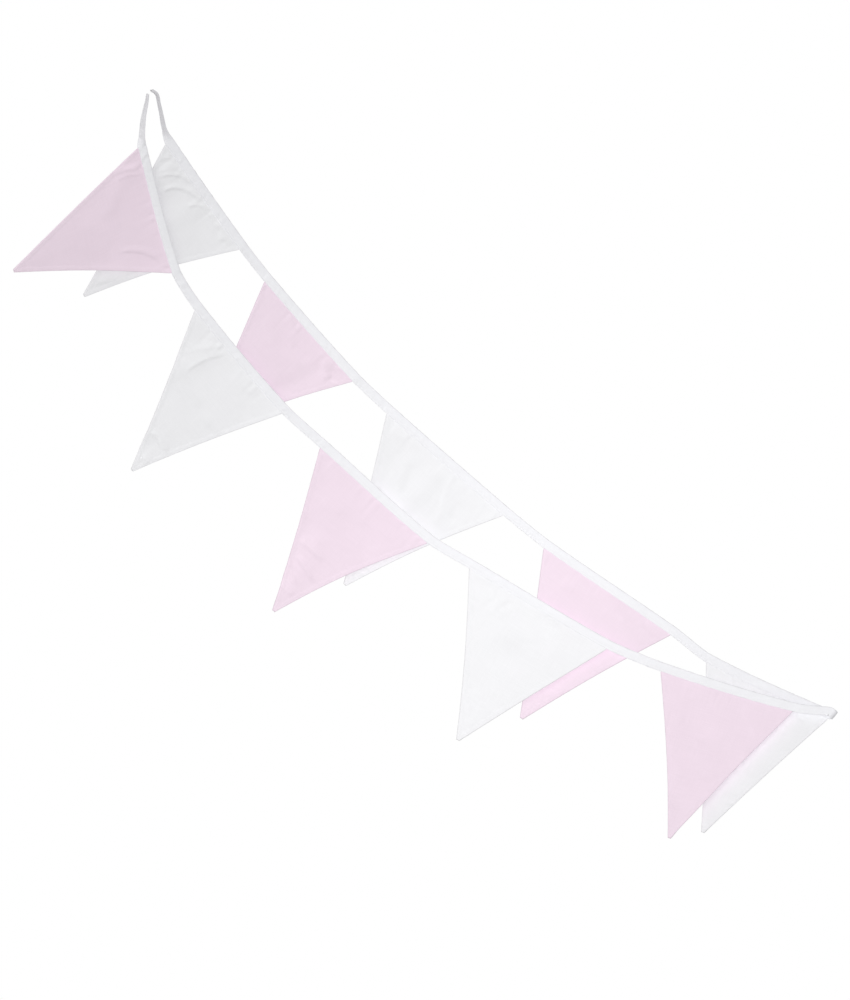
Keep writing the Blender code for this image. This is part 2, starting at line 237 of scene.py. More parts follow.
# The fine wrinkles of each flag, as rows of Wrinkle values, each an arc through three points. A wrinkle
# is steep on its right as one goes along it, over its half_width, and gentle on its left
Wrinkle = namedtuple("Wrinkle", "across_1 down_1 across_2 down_2 across_3 down_3 half_width height")
WRINKLES = {
    "flag_01": (
        (22, 42, 21, 22, 35, 0, 2.6, 0.85),
        (30, 41, 30, 21, 42, 0, 2.4, 0.6),
        (126, 66, 141, 32, 172, 7, 2.6, 0.85),
        (66, 132, 76, 90, 99, 52, 8.0, 0.35),
        (112, 109, 128, 89, 143, 61, 5.0, -0.3),
    ),
    "flag_02": (
        (33, 52, 53, 21, 76, -4, 2.5, 0.4),
        (60, 64, 65, 32, 90, -4, 2.3, 0.65),
        (86, 144, 107, 142, 134, 149, 2.4, 1.3),
        (120, 77, 147, 79, 167, 79, 3.5, 0.6),
        (104, 173, 113, 173, 121, 173, 3.5, 0.7),
        (59, 76, 88, 72, 117, 76, 6.0, 0.5),
        (106, 18, 135, 14, 163, 5, 6.0, 0.6),
    ),
    "flag_03": (
        (70, 124, 94, 129, 118, 137, 2.4, 1.5),
        (60, 106, 84, 106, 112, 106, 2.8, 1.0),
        (66, 136, 83, 144, 102, 156, 2.4, 1.1),
        (80, 166, 93, 166, 108, 170, 2.4, 0.9),
        (42, 89, 60, 97, 82, 106, 3.0, 0.5),
        (47, 52, 69, 48, 91, 36, 7.0, 0.5),
        (109, 35, 130, 42, 150, 56, 7.0, -0.5),
    ),
    "flag_04": (
        (35, 38, 41, 24, 48, 12, 2.6, 0.5),
        (52, 46, 59, 18, 74, 3, 2.6, 0.6),
        (66, 36, 74, 21, 84, 8, 2.6, 0.45),
        (83, 59, 110, 38, 137, 20, 8.0, 0.8),
        (75, 86, 97, 84, 119, 71, 8.0, -0.7),
        (84, 149, 96, 133, 117, 118, 6.0, 0.6),
        (102, 8, 124, 10, 151, 5, 5.0, -0.6),
    ),
    "flag_05": (
        (38, 28, 67, 19, 99, 18, 6.0, 0.7),
        (77, 88, 101, 82, 126, 63, 7.0, -0.9),
        (71, 125, 95, 118, 116, 103, 4.5, 0.9),
        (123, 14, 144, 28, 158, 46, 6.0, -0.7),
        (74, 156, 91, 161, 110, 156, 3.0, 0.9),
    ),
    "flag_06": (
        (129, 5, 153, 8, 169, 22, 5.0, 0.7),
        (121, 77, 131, 62, 146, 44, 7.0, -0.6),
        (102, 155, 111, 143, 121, 127, 5.0, 0.6),
        (30, 8, 70, 12, 107, 7, 6.0, -0.6),
    ),
    "flag_07": (
        (41, 22, 59, 22, 81, 13, 6.0, 0.6),
        (96, 12, 118, 16, 143, 11, 6.0, -0.6),
        (157, 8, 170, 9, 182, 17, 4.0, 0.7),
        (100, 154, 114, 138, 121, 117, 5.0, -0.6),
    ),
    "flag_08": (
        (121, 5, 136, 38, 150, 74, 4.0, 0.6),
        (72, 20, 81, 44, 92, 65, 6.0, -0.9),
        (18, 7, 35, 17, 51, 31, 6.0, 0.7),
        (153, 20, 156, 38, 162, 54, 5.0, -0.7),
    ),
    "flag_09": (
        (162, 8, 171, 15, 176, 22, 3.5, -1.0),
        (143, 8, 158, 17, 170, 27, 3.8, 1.0),
        (35, 31, 59, 35, 83, 47, 7.0, 0.6),
        (96, 29, 114, 25, 133, 30, 6.0, -0.6),
    ),
    "flag_10": (
        (11, 22, 18, 9, 32, 0, 1.8, 0.5),
        (21, 21, 32, 9, 48, 0, 1.8, 0.45),
        (24, 31, 37, 11, 58, 0, 1.9, 0.6),
        (28, 39, 52, 8, 92, 1, 1.8, 0.95),
        (53, 44, 67, 17, 114, 2, 1.9, 1.05),
        (97, 27, 105, 11, 130, 1, 1.9, 0.65),
        (118, 9, 133, 4, 150, 3, 2.2, 0.45),
        (143, 6, 155, 3, 169, 2, 3.0, 0.8),
        (166, 15, 172, 8, 182, 3, 3.5, 0.7),
        (95, 177, 105, 158, 120, 138, 5.0, 0.7),
    ),
}
WRINKLE_ARC_STEPS = 40
WRINKLE_END_SHARE = 0.28
WRINKLE_GENTLE_SIDE = 2.0
WRINKLE_FREE_TOP = 3.5

# The small gathers of the flags along the binding, as two waves, the second weaker, that swell and fade
PUCKER_HEIGHT = 0.32
PUCKER_FADE = 11.0
PUCKER_LENGTHS = (17.0, 10.3)
SECOND_PUCKER_SHARE = 0.7
PUCKER_SWELL_LENGTH = 83.0
PUCKER_SWELL = (0.6, 0.4)

# Kinks across the binding: length from the front tie's cut end, and how far the face steps out
Kink = namedtuple("Kink", "length half_width height slant")
KINKS = (
    Kink(84, 2.5, 0.7, 0.6),
    Kink(90, 2.0, -0.35, 0.6),
    Kink(285, 4.0, 0.5, -0.4),
    Kink(640, 3.0, 0.45, 0.5),
    Kink(1660, 3.5, 0.5, 0.5),
    Kink(1925, 3.5, 0.5, -0.5),
)

# The ripples that the topstitching draws into the binding: length, slant over the depth, phase, share
Ripple = namedtuple("Ripple", "length slant phase share")
RIPPLES = (
    Ripple(7.3, 0.45, 0.4, 0.5),
    Ripple(4.7, -0.3, 2.1, 0.3),
    Ripple(12.9, 0.2, 4.4, 0.4),
)
RIPPLE_REACH = 3.2
RIPPLE_FAR_SHARE = 0.45
# How the ripples swell and fade along the binding: length, middle value and height of each swell
RIPPLE_SWELLS = ((61.0, 0.7, 0.5), (37.0, 0.8, 0.4))

# The small unevenness of the binding's edges, as two waves, and where on the leaf it sets in
EDGE_WAVER = 0.22
EDGE_WAVER_LENGTHS = (23.0, 9.1)
EDGE_WAVER_SHARES = (1.0, 0.5)
EDGE_WAVER_START = 2.0
EDGE_WAVER_BLEND = 4.0

# The photograph's view: the camera's turn from +Y, its roll about the line of sight, and the point that
# it looks at in metres
PHOTO_SIZE = (850, 1000)
CAMERA_TURN = 11.0
CAMERA_ROLL = 39.0
CAMERA_DISTANCE = 12.0
CAMERA_TARGET = Vector((0.5776, -0.1123, -0.1814))
METRES_PER_PIXEL = 0.00125
SENSOR_WIDTH = 36.0

# The bunting hangs at the height of a ceiling
FLOOR_HEIGHT = -2.4
FLOOR_RADIUS = 3.0

# The main soft box stands to the upper left and only brightens, as the photograph has next to no
# shadows; the second stands near the camera's line of sight, lower, and casts the faint ones; the third
# lights the backs
SoftBox = namedtuple("SoftBox", "name place side power casts_shadows")
SOFT_BOXES = (
    SoftBox("upper_box", (-2.14, -5.16, 3.84), 3.0, 206.0, False),
    SoftBox("front_box", (-2.7, -6.2, -1.15), 3.6, 91.0, True),
    SoftBox("back_box", (0.9, 6.3, 1.2), 3.6, 135.0, False),
)
LIGHT_FROM_FRONT = 0.59
LIGHT_FROM_BEHIND = 0.34

# The photograph's light falls off to the upper left; a soft spot on the middle flags does the same
SPOT_PLACE = Vector((0.1, -5.0, 0.6))
SPOT_TARGET = Vector((0.54, 0.12, -0.2))
SPOT_RADIUS = 0.53
SPOT_POWER = 112.0


def linear_rgb(hex_colour):
    """An sRGB hex colour as the linear red, green and blue that shaders take."""
    channels = [(hex_colour >> shift & 255) / 255.0 for shift in (16, 8, 0)]
    return tuple(c / 12.92 if c <= 0.04045 else ((c + 0.055) / 1.055) ** 2.4 for c in channels)


def length_setting(name, description, default, smallest, largest):
    """A length in metres that a user may change."""
    return FloatProperty(
        name=name,
        description=description,
        default=default,
        min=smallest,
        max=largest,
        unit="LENGTH",
    )


def colour_setting(name, description, hex_colour):
    """A colour that a user may change."""
    return FloatVectorProperty(
        name=name,
        description=description,
        subtype="COLOR",
        size=3,
        min=0.0,
        max=1.0,
        default=linear_rgb(hex_colour),
    )


class BuntingSizes(bpy.types.PropertyGroup):
    """The sizes of the cloth that a user may change."""

    layer_thickness: length_setting(
        "Layer thickness", "Thickness of one layer of the flags' cotton", 0.0005, 0.0002, 0.0012
    )
    seam_width: length_setting(
        "Seam width", "Width of the turned seam allowance inside a flag's sides", 0.0065, 0.003, 0.012
    )
    seam_bulk: length_setting(
        "Seam bulk", "How far the seam allowance lifts each face of a flag", 0.00022, 0.0, 0.001
    )
    loft: length_setting(
        "Loft", "How far a flag's two layers stand apart between the seams", 0.0006, 0.0, 0.003
    )
    leaf_thickness: length_setting(
        "Leaf thickness", "Thickness of one leaf of the folded binding", 0.0008, 0.0004, 0.0015
    )
    stitch_inset: length_setting(
        "Stitch inset", "Distance of the topstitching from the binding's lower edge", 0.0022, 0.001, 0.005
    )
    stitch_length: length_setting(
        "Stitch length", "Length of one stitch with the gap after it", 0.003, 0.002, 0.005
    )
    thread_width: length_setting(
        "Thread width", "Diameter of the sewing thread", 0.0003, 0.0002, 0.001
    )
    ripple_height: length_setting(
        "Ripple height", "Height of the ripples that the stitching makes", 0.0004, 0.0, 0.001
    )
    cotton_pitch: length_setting(
        "Cotton thread spacing", "Spacing of the threads in the flags' plain weave", 0.0005, 0.0002, 0.002
    )
    tape_pitch: length_setting(
        "Tape thread spacing", "Spacing of the threads in the binding's plain weave", 0.0006, 0.0002, 0.002
    )
    mesh_step: length_setting(
        "Mesh step", "Length of one mesh face on a flag", 0.0016, 0.001, 0.01
    )


class BuntingColours(bpy.types.PropertyGroup):
    """The colours of the cloths, the thread and the floor."""

    pink: colour_setting("Pink cotton", "Colour of the pink flags", 0xEFDEEA)
    white: colour_setting("White cotton", "Colour of the white flags", 0xEFEFF1)
    tape: colour_setting("Binding", "Colour of the binding", 0xF0F0F3)
    thread: colour_setting("Thread", "Colour of the sewing thread", 0xF3F3F5)
    floor: colour_setting("Floor", "Colour of the floor", 0xF7F7F7)


def smooth(value):
    """A ramp from 0 to 1 with level ends, for values from 0 to 1."""
    value = np.clip(value, 0.0, 1.0)
    return value * value * (3.0 - 2.0 * value)


def wave(place, length, phase=0.0):
    """A sine wave of the given length, at each place."""
    return np.sin(place / length * math.tau + phase)


def running_total(steps):
    """The sum of the steps before each station, from 0 at the first one."""
    return np.concatenate([[0.0], np.cumsum(steps)])


class HangingSurface:
    """The plumb surface below the curve that the strands follow, with its unrolled coordinates."""

    def __init__(self):
        self.runs = np.arange(-PLAN_MARGIN, PLAN[-1].run + PLAN_MARGIN, PLAN_STEP)
        headings = np.interp(self.runs, [s.run for s in PLAN], [s.heading for s in PLAN])
        reach = int(PLAN_BLEND / PLAN_STEP)
        weights = np.ones(2 * reach + 1) / (2 * reach + 1)
        headings = np.convolve(np.pad(headings, reach, mode="edge"), weights, mode="valid")
        self.headings = np.radians(headings)
        middle = (self.headings[1:] + self.headings[:-1]) / 2.0
        self.x = running_total(np.cos(middle) * PLAN_STEP)
        self.y = running_total(np.sin(middle) * PLAN_STEP)
        self.x -= np.interp(0.0, self.runs, self.x)
        self.y -= np.interp(0.0, self.runs, self.y)

    def wrap(self, run, height, out):
        """The places in metres of points of the unrolled surface, moved out towards the viewer's side."""
        heading = np.interp(run, self.runs, self.headings)
        x = np.interp(run, self.runs, self.x) + out * np.sin(heading)
        y = np.interp(run, self.runs, self.y) - out * np.cos(heading)
        return np.stack(np.broadcast_arrays(x, y, height), axis=-1) * MM

    def outward(self, run):
        """The unit vectors towards the viewer's side at the given runs."""
        heading = np.interp(run, self.runs, self.headings)
        return np.stack([np.sin(heading), -np.cos(heading), np.zeros_like(heading)], axis=-1)


def edge_direction(flag):
    """The unit vector along a flag's top edge, from left to right, as run and height."""
    angle = math.radians(flag.slope)
    return np.array([math.cos(angle), math.sin(angle)])


def hang_direction(flag):
    """The unit vector from a flag's top edge towards its tip."""
    along = edge_direction(flag)
    return np.array([along[1], -along[0]])


def strand_out(flag):
    """How far out the strand that carries the flag hangs."""
    return STRAND_OFFSET if flag.strand == "front" else -STRAND_OFFSET


def binding_ends(flag):
    """The points of the binding's middle line over the left and right ends of a flag's top edge."""
    left = np.array([flag.run, flag.height]) - hang_direction(flag) * BINDING_DEPTH / 2.0
    right = left + edge_direction(flag) * flag.width
    return left, right


# A station of the binding's middle line: its place, how far the strip is turned and the share of its
# depth that is left there, and for the stretch after it the mesh step and the flag that hangs from it
Station = namedtuple("Station", "run height out turn gather step flag")


def flag_stations(strand):
    """The stations over both ends of each of a strand's flags, in the order in which they are sewn on."""
    stations = []
    for flag in (f for f in FLAGS if f.strand == strand):
        left, right = binding_ends(flag)
        first, second = (left, right) if strand == "front" else (right, left)
        stations.append(Station(*first, strand_out(flag), 0.0, 1.0, STEP_AT_FLAGS, flag))
        stations.append(Station(*second, strand_out(flag), 0.0, 1.0, STEP_AT_FLAGS, None))
    return stations


def binding_stations():
    """The stations of the whole binding, from the front tie's end round the fold to the back tie's end."""
    stations = [Station(*tie, STEP_AT_TIES, None) for tie in FRONT_TIE]
    stations += flag_stations("front")
    for i in range(FOLD_STATIONS + 1):
        angle = math.pi * (0.5 - i / FOLD_STATIONS)
        run = FOLD_RUN + FOLD_RADIUS * math.cos(angle)
        out = FOLD_RADIUS * math.sin(angle)
        step = STEP_AT_FOLD if i < FOLD_STATIONS else STEP_AT_TIES
        stations.append(Station(run, FOLD_HEIGHT, out, 0.0, 1.0, step, None))
    stations += flag_stations("back")
    for tie in reversed(BACK_TIE):
        turned_back = tie._replace(turn=-tie.turn)
        stations.append(Station(*turned_back, STEP_AT_TIES, None))
    return stations


def place(station):
    """A station's place on the unrolled surface: run, height and out."""
    return np.array([station.run, station.height, station.out])


def station_tangents(stations):
    """The direction of the middle line at each station, from its neighbours on both sides."""
    places = [place(s) for s in stations]
    tangents = []
    for i in range(len(places)):
        before = places[max(i - 1, 0)]
        after = places[min(i + 1, len(places) - 1)]
        tangents.append((after - before) / np.linalg.norm(after - before))
    return tangents


def curve_points(start, end, start_tangent, end_tangent, fullness, shares):
    """Points at the shares of the curve between two stations; less fullness bends it nearer its ends."""
    length = fullness * np.linalg.norm(end - start)
    share = np.atleast_1d(shares)[:, None]
    square, cube = share**2, share**3
    return (
        (2 * cube - 3 * square + 1) * start
        + (cube - 2 * square + share) * length * start_tangent
        + (3 * square - 2 * cube) * end
        + (cube - square) * length * end_tangent
    )


class Binding:
    """The folded strip's middle line, sampled for its own mesh and read by the flags below it."""

    def __init__(self, surface):
        self.surface = surface
        self.stations = binding_stations()
        self.tangents = station_tangents(self.stations)

    def points(self, index, shares):
        """Points of the stretch after the station of that index, on the unrolled surface."""
        here, after = self.stations[index], self.stations[index + 1]
        between_flags = after.flag and not here.flag
        fullness = GAP_FULLNESS if between_flags else 1.0
        start_tangent, end_tangent = self.tangents[index], self.tangents[index + 1]
        return curve_points(place(here), place(after), start_tangent, end_tangent, fullness, shares)

    def bow(self, flag, shares):
        """How far the binding sags below the straight line over a flag's top edge, along its drop."""
        index = next(i for i, s in enumerate(self.stations) if s.flag is flag)
        from_start = shares if flag.strand == "front" else 1.0 - shares
        left, right = binding_ends(flag)
        straight = left + (right - left) * shares[:, None]
        curved = self.points(index, from_start)[:, :2]
        return (curved - straight) @ hang_direction(flag)

    def opening(self, index, shares):
        """1 where a flag is held, falling to 0 a short way past each of its ends."""
        here, after = self.stations[index], self.stations[index + 1]
        if here.flag:
            return np.ones_like(shares)
        length = np.linalg.norm(place(after) - place(here))
        past_last = np.full_like(shares, np.inf)
        before_next = np.full_like(shares, np.inf)
        if index and self.stations[index - 1].flag:
            past_last = shares * length
        if after.flag:
            before_next = (1.0 - shares) * length
        return smooth(1.0 - np.minimum(past_last, before_next) / WIDENING_LENGTH)

    def samples(self):
        """Arrays along the whole binding: places in metres, turns, gathers and openings."""
        places, turns, gathers, openings = [], [], [], []
        for index, (here, after) in enumerate(zip(self.stations, self.stations[1:])):
            length = np.linalg.norm(place(after) - place(here))
            steps = max(1, round(length / here.step))
            last = index == len(self.stations) - 2
            shares = np.arange(steps + 1 if last else steps) / steps
            laid_out = self.points(index, shares)
            places.append(self.surface.wrap(laid_out[:, 0], laid_out[:, 1], laid_out[:, 2]))
            turns.append(here.turn + (after.turn - here.turn) * shares)
            gathers.append(here.gather + (after.gather - here.gather) * shares)
            openings.append(self.opening(index, shares))
        return [np.concatenate(parts) for parts in (places, turns, gathers, openings)]


def unit(vectors):
    """The vectors scaled to length 1."""
    return vectors / np.linalg.norm(vectors, axis=-1, keepdims=True)


class BindingFrame:
    """The binding's samples with their lengths from the front tie's end and their down and side axes."""

    def __init__(self, binding):
        self.points, turns, self.gathers, self.openings = binding.samples()
        self.lengths = running_total(np.linalg.norm(np.diff(self.points, axis=0), axis=1)) / MM
        self.along = unit(np.gradient(self.points, axis=0))
        plumb = np.array([0.0, 0.0, -1.0])
        down = unit(plumb - self.along * (self.along @ plumb)[:, None])
        side = np.cross(self.along, down)
        turn = np.radians(turns)[:, None]
        self.down = down * np.cos(turn) + side * np.sin(turn)
        self.side = side * np.cos(turn) - down * np.sin(turn)

    def at(self, lengths):
        """The middle point, along, down and side axes, gather and opening at the given lengths."""
        vectors = [
            np.stack([np.interp(lengths, self.lengths, rows[:, i]) for i in range(3)], axis=-1)
            for rows in (self.points, self.along, self.down, self.side)
        ]
        scalars = [np.interp(lengths, self.lengths, row) for row in (self.gathers, self.openings)]
        return vectors[0], unit(vectors[1]), unit(vectors[2]), unit(vectors[3]), *scalars


def half_slot(openings, sizes):
    """Half the slot between the binding's leaves: it grips a flag's two layers, or nearly closes."""
    held = sizes.layer_thickness / MM + SLOT_PLAY
    return CLOSED_SLOT / 2.0 + (held - CLOSED_SLOT / 2.0) * openings


def stitch_depth(sizes):
    """The depth of the topstitching below the binding's middle line."""
    return BINDING_DEPTH / 2.0 - sizes.stitch_inset / MM


def leaf_relief(lengths, depth, phase, sizes):
    """How far a leaf's face stands out: its bulge, the stitched groove, the ripples and the kinks."""
    stitched = stitch_depth(sizes)
    above = smooth((stitched - depth) / BULGE_FADE)
    above = above * smooth((depth + BINDING_DEPTH / 2.0) / BULGE_FADE)
    groove = np.exp(-(((depth - stitched) / GROOVE_HALF_WIDTH) ** 2))
    from_stitch = (depth - stitched) / RIPPLE_REACH
    near_stitch = RIPPLE_FAR_SHARE + (1.0 - RIPPLE_FAR_SHARE) * np.exp(-(from_stitch**2))
    swell = 1.0
    for turn, (length, middle, height) in enumerate(RIPPLE_SWELLS, 1):
        swell = swell * (middle + height * wave(lengths, length, turn * phase))
    waves = sum(
        r.share * wave(lengths, r.length, r.slant * depth + r.phase + phase)
        for r in RIPPLES
    )
    ripples = sizes.ripple_height / MM * swell * waves * near_stitch
    kinks = sum(
        k.height * np.exp(-(((lengths - k.length - k.slant * depth) / k.half_width) ** 2))
        for k in KINKS
    )
    return LEAF_BULGE * above - STITCH_GROOVE * groove + ripples + kinks


def pleat_out(lengths, depth, gathers):
    """How far the strip is rolled and pleated sideways, the more the tighter it is drawn together."""
    sway = PLEAT_SWAY * wave(lengths, PLEAT_SWAY_LENGTH)
    pleats = PLEAT_HEIGHT * wave(depth, PLEAT_LENGTH, sway)
    rolled = ROLL_HEIGHT * np.sign(lengths - FOLD_LENGTH) * (1.0 - (2.0 * depth / BINDING_DEPTH) ** 2)
    return (1.0 - gathers) * (rolled + pleats)


def edge_waver(lengths, phase):
    """The small unevenness of the binding's edges along its length."""
    waves = sum(
        share * wave(lengths, length, phase)
        for length, share in zip(EDGE_WAVER_LENGTHS, EDGE_WAVER_SHARES)
    )
    return EDGE_WAVER * waves / sum(EDGE_WAVER_SHARES)


def leaf_outline(slot, leaf):
    """One leaf's section from the crest's middle, over the lower lip, to the slot's end: depth, offset.

    slot is half the slot at each sample. The last value of each row says if the point is on the face.
    """
    top, bottom = -BINDING_DEPTH / 2.0, BINDING_DEPTH / 2.0
    whole = slot + leaf
    rows = []
    for angle in CREST_ANGLES:
        radians = math.radians(angle)
        depth = top + CREST_HEIGHT * (1.0 - math.sin(radians))
        rows.append((depth, whole * math.cos(radians), 0.0))
    rows += [(depth, whole, 1.0) for depth in FACE_DEPTHS]
    lip = leaf / 2.0
    for angle in LIP_ANGLES:
        radians = math.radians(angle)
        rows.append((bottom - lip + lip * math.sin(radians), slot + lip + lip * math.cos(radians), 0.0))
    rows += [(depth, slot, 0.0) for depth in SLOT_DEPTHS]
    return rows


def finished_mesh(name, bm):
    """A mesh with the working shape's faces; the working shape is let go."""
    mesh = bpy.data.meshes.new(name)
    bm.to_mesh(mesh)
    bm.free()
    return mesh


def build_mesh(name, grids, loop_closed):
    """Makes a mesh from grids of places and marks, each (rows, columns, 3), by bmesh's own grids.

    Grids after the first are turned over, so that two laid back to back close along their rims. A closed
    loop joins a grid's first and last columns, and the ends of the tube are then filled.
    """
    bm = bmesh.new()
    mark_layer = bm.verts.layers.float_vector.new("cloth_place")
    for turned_over, (places, marks) in enumerate(grids):
        rows, columns = places.shape[0] - 1, places.shape[1] - 1
        made = bmesh.ops.create_grid(bm, x_segments=columns, y_segments=rows, size=0.5)["verts"]
        cells = [(round((0.5 - v.co.y) * rows), round((v.co.x + 0.5) * columns)) for v in made]
        for vert, (row, column) in zip(made, cells):
            vert.co = places[row, column]
            vert[mark_layer] = marks[row, column]
        if turned_over:
            faces = list({face for vert in made for face in vert.link_faces})
            bmesh.ops.reverse_faces(bm, faces=faces)
    bmesh.ops.remove_doubles(bm, verts=bm.verts, dist=WELD_DISTANCE)
    if loop_closed:
        bmesh.ops.holes_fill(bm, edges=[e for e in bm.edges if e.is_boundary], sides=0)
    bmesh.ops.recalc_face_normals(bm, faces=bm.faces)
    mesh = finished_mesh(name, bm)
    mesh.shade_smooth()
    return mesh


def linked_object(name, data):
    """A new object with its mesh, light or camera, linked to the scene."""
    made = bpy.data.objects.new(name, data)
    bpy.context.scene.collection.objects.link(made)
    return made


def new_piece(name, mesh, material):
    """Adds a mesh to the scene as a piece of the bunting that rides on its one body."""
    piece = linked_object(name, mesh)
    mesh.materials.append(material)
    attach(piece, "root")
    return piece


def crease_out(crease, across, down):
    """How far out one main fold moves the points of its flag."""
    start, end = np.reshape(crease[:4], (2, 2)).astype(float)
    length = np.linalg.norm(end - start)
    along = (end - start) / length
    forward = (across - start[0]) * along[0] + (down - start[1]) * along[1]
    sideways = (across - start[0]) * along[1] - (down - start[1]) * along[0]
    past_end = np.maximum(np.maximum(-forward, forward - length), 0.0)
    fading = 1.0 - smooth(past_end / CREASE_END_BLEND)
    return crease.height * fading * np.exp(-((sideways / crease.half_width) ** 2))


def wrinkle_out(wrinkle, across, down):
    """How far out one fine wrinkle moves the points of its flag; it dies away at both ends."""
    start, middle, end = np.reshape(wrinkle[:6], (3, 2)).astype(float)
    pull = 2.0 * middle - (start + end) / 2.0
    t = np.linspace(0.0, 1.0, WRINKLE_ARC_STEPS)[:, None]
    arc = (1.0 - t) ** 2 * start + 2.0 * (1.0 - t) * t * pull + t**2 * end
    squares = (across[..., None] - arc[:, 0]) ** 2 + (down[..., None] - arc[:, 1]) ** 2
    nearest = squares.argmin(axis=-1)
    share = t[nearest, 0]
    fading = smooth(np.minimum(share, 1.0 - share) / WRINKLE_END_SHARE)
    distance = np.take_along_axis(squares, nearest[..., None], axis=-1)[..., 0]
    heading = np.gradient(arc, axis=0)[nearest]
    from_arc_across, from_arc_down = across - arc[nearest, 0], down - arc[nearest, 1]
    on_the_left = from_arc_down * heading[..., 0] - from_arc_across * heading[..., 1] < 0.0
    half_width = wrinkle.half_width * np.where(on_the_left, WRINKLE_GENTLE_SIDE, 1.0)
    return wrinkle.height * fading * np.exp(-distance / half_width**2)


def pucker_out(flag, across, down):
    """The small gathers just below the binding, different on each flag."""
    phase = FLAGS.index(flag) * PHASE_STEP
    first, second = PUCKER_LENGTHS
    middle, height = PUCKER_SWELL
    swell = middle + height * wave(across, PUCKER_SWELL_LENGTH, 2.0 * phase)
    waves = wave(across, first, phase) + SECOND_PUCKER_SHARE * wave(across, second, -phase)
    return PUCKER_HEIGHT * swell * waves * np.exp(-np.maximum(down, 0.0) / PUCKER_FADE)


class FlagSheet:
    """The grid of one flag's cloth: where each point lies on the flag, and how far out it hangs."""

    def __init__(self, flag, sizes):
        self.flag = flag
        self.sizes = sizes
        step = sizes.mesh_step / MM
        tip_rows = flag.drop - np.array(TIP_ROWS)
        body_rows = np.linspace(0.0, tip_rows[0], round(tip_rows[0] / step), endpoint=False)
        rows = np.concatenate([TUCK_ROWS, body_rows, tip_rows])
        left, right = self.sides(rows)
        seam = sizes.seam_width / MM
        band = np.minimum(seam, WIDEST_SEAM_SHARE * (right - left))
        seam_columns = np.array(SEAM_COLUMNS)
        inner_columns = np.linspace(0.0, 1.0, round((flag.width - 2.0 * seam) / step) + 1)
        left_rim = left[:, None] + band[:, None] * seam_columns
        right_rim = right[:, None] - band[:, None] * seam_columns[::-1]
        inner = (left + band)[:, None] + (right - left - 2.0 * band)[:, None] * inner_columns
        self.across = np.concatenate([left_rim, inner, right_rim], axis=1)
        self.down = np.broadcast_to(rows[:, None], self.across.shape)
        side = np.minimum(self.across - left[:, None], right[:, None] - self.across)
        self.from_side = np.maximum(side, 0.0)
        self.from_tip = flag.drop - self.down
        self.from_edge = np.minimum(self.from_side, self.from_tip)

    def sides(self, down):
        """The left and right ends of the cloth at each depth, along the top edge."""
        flag = self.flag
        share = np.maximum(down, 0.0) / flag.drop
        tip = flag.width / 2.0 + flag.shift
        left = share * (tip - TIP_WIDTH / 2.0)
        right = flag.width + share * (tip + TIP_WIDTH / 2.0 - flag.width)
        drawn_in = np.sin(np.pi * share)
        tucked = np.where(down <= 0.0, TUCK_SIDE_PLAY, 0.0)
        left = left + flag.hollow_left * drawn_in + tucked
        right = right - flag.hollow_right * drawn_in - tucked
        return left, right

    def half_thickness(self):
        """Half the flag's thickness: rounded at its rim, fuller at the seams, the tip and the middle."""
        sizes = self.sizes
        from_rim = np.minimum(self.from_edge, self.down + FLAG_TUCK)
        rim = np.sqrt(1.0 - (1.0 - np.clip(from_rim / RIM_RADIUS, 0.0, 1.0)) ** 2)
        seam = self.seam()
        below = smooth(self.down / SEAM_START)
        tip = 1.0 - smooth(self.from_tip / TIP_BULK_LENGTH)
        inside = smooth(self.from_side / LOFT_FROM_SIDE) * smooth(self.down / LOFT_FROM_TOP)
        loft = sizes.loft / MM * (1.0 - seam) * inside
        bulk = sizes.seam_bulk / MM * seam * below + TIP_BULK * tip + loft
        return (sizes.layer_thickness / MM + bulk) * rim

    def seam(self):
        """1 on the turned seam allowance, 0 inside it."""
        inside = self.from_edge - self.sizes.seam_width / MM
        return 1.0 - smooth(inside / SEAM_STEP_LENGTH + 0.5)

    def edge(self):
        """The share of shade painted into the colour: on the turned rim of the sides and the tip only."""
        return PAINTED_SHADE_SHARE * (1.0 - smooth(self.from_edge / PAINTED_SHADE_WIDTH))

    def out(self):
        """How far out the cloth hangs: its strand, the swing of its tip, its folds and its wrinkles."""
        flag = self.flag
        below = np.maximum(self.down, 0.0)
        folds = sum(crease_out(Crease(*row), self.across, below) for row in CREASES[flag.name])
        fine = sum(wrinkle_out(Wrinkle(*row), self.across, below) for row in WRINKLES[flag.name])
        fine = fine + pucker_out(flag, self.across, below)
        swing = flag.curl * (below / flag.drop) ** 2
        free = smooth(below / CREASE_FREE_TOP)
        return strand_out(flag) + swing + folds * free + fine * smooth(below / WRINKLE_FREE_TOP)

    def faces(self, surface, binding):
        """The places in metres of the front and back faces, and the cloth's own marks, the last of them its
        painted shade.
        """
        flag = self.flag
        follow = 1.0 - smooth(np.maximum(self.down, 0.0) / (flag.drop / 2.0))
        shares = np.clip(self.across / flag.width, 0.0, 1.0)
        lift = binding.bow(flag, shares.ravel()).reshape(shares.shape) * follow
        along, hang = edge_direction(flag), hang_direction(flag)
        run = flag.run + along[0] * self.across + hang[0] * (self.down + lift)
        height = flag.height + along[1] * self.across + hang[1] * (self.down + lift)
        middle = surface.wrap(run, height, self.out())
        normal = unit(np.cross(np.gradient(middle, axis=0), np.gradient(middle, axis=1)))
        facing = np.sign(np.sum(normal * surface.outward(run), axis=-1))[..., None]
        shift = normal * facing * self.half_thickness()[..., None] * MM
        own_patch = FLAGS.index(flag) * PATCH_STEP
        marks = np.stack([self.across * MM + own_patch, self.down * MM, self.edge()], axis=-1)
        return middle + shift, middle - shift, marks


